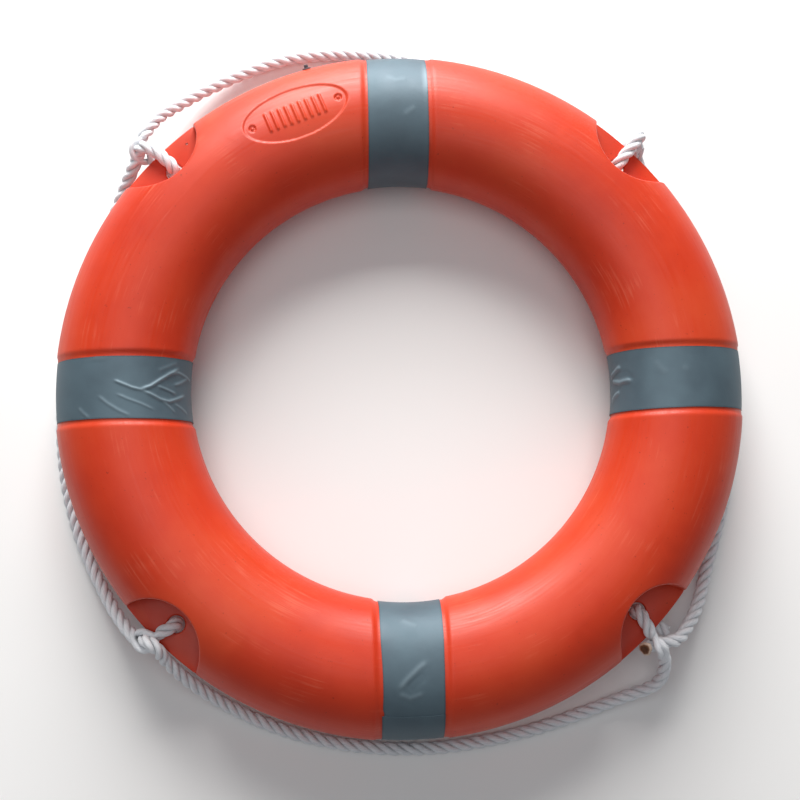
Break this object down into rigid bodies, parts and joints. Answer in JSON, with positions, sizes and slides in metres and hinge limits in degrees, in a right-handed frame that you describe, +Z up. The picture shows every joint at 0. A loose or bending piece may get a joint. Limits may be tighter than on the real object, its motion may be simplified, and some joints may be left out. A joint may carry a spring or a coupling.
{
  "type": "ring lifebuoy",
  "caption": "Ring lifebuoy with an orange moulded shell, reflective bands set in grooves, and a laid grab rope hitched through scooped recesses and hanging in loops round the rim.",
  "frame": {"origin": "bottom centre of the ring as it lies flat, on the floor and on the ring's axis", "axes": "+Z up along the ring's axis, out of the face with the moulded mark; +Y towards the top band in the pictured view, +X towards the right band"},
  "size_m": [0.7406, 0.7777, 0.115],
  "materials": {
    "shell": "satin",
    "foam": "matte",
    "reflective_band": "satin",
    "rope": "matte",
    "plug": "satin"
  },
  "bodies": {
    "ring": {"shell": "shell", "foam_core": "foam", "vent_plug": "plug", "band_top": "reflective_band", "band_left": "reflective_band", "band_bottom": "reflective_band", "band_right": "reflective_band", "hitch_upper_right": "rope", "hitch_upper_left": "rope", "hitch_lower_left": "rope", "hitch_lower_right": "rope", "rope_end": "rope"},
    "grab_loop_top": {"grab_loop_top": "rope"},
    "grab_loop_left": {"grab_loop_left": "rope"},
    "grab_loop_bottom": {"grab_loop_bottom": "rope"},
    "grab_loop_right": {"grab_loop_right": "rope"}
  },
  "joints": [
    {"name": "lift_loop_top", "type": "hinge", "parent": "ring", "child": "grab_loop_top", "pos_m": [-0.26587, 0.28711, 0.05198], "axis": [0.9988, -0.0352, -0.0329], "range_deg": [0, 60]},
    {"name": "lift_loop_left", "type": "hinge", "parent": "ring", "child": "grab_loop_left", "pos_m": [-0.28395, -0.2451, 0.05198], "axis": [0.0057, 1, -0.008], "range_deg": [0, 80]},
    {"name": "lift_loop_bottom", "type": "hinge", "parent": "ring", "child": "grab_loop_bottom", "pos_m": [-0.24732, -0.27371, 0.05198], "axis": [-0.9995, 0.0319, 0.0019], "range_deg": [0, 80]},
    {"name": "lift_loop_right", "type": "hinge", "parent": "ring", "child": "grab_loop_right", "pos_m": [0.28408, -0.26398, 0.04902], "axis": [0.0312, -0.9991, 0.0272], "range_deg": [0, 28]}
  ]
}
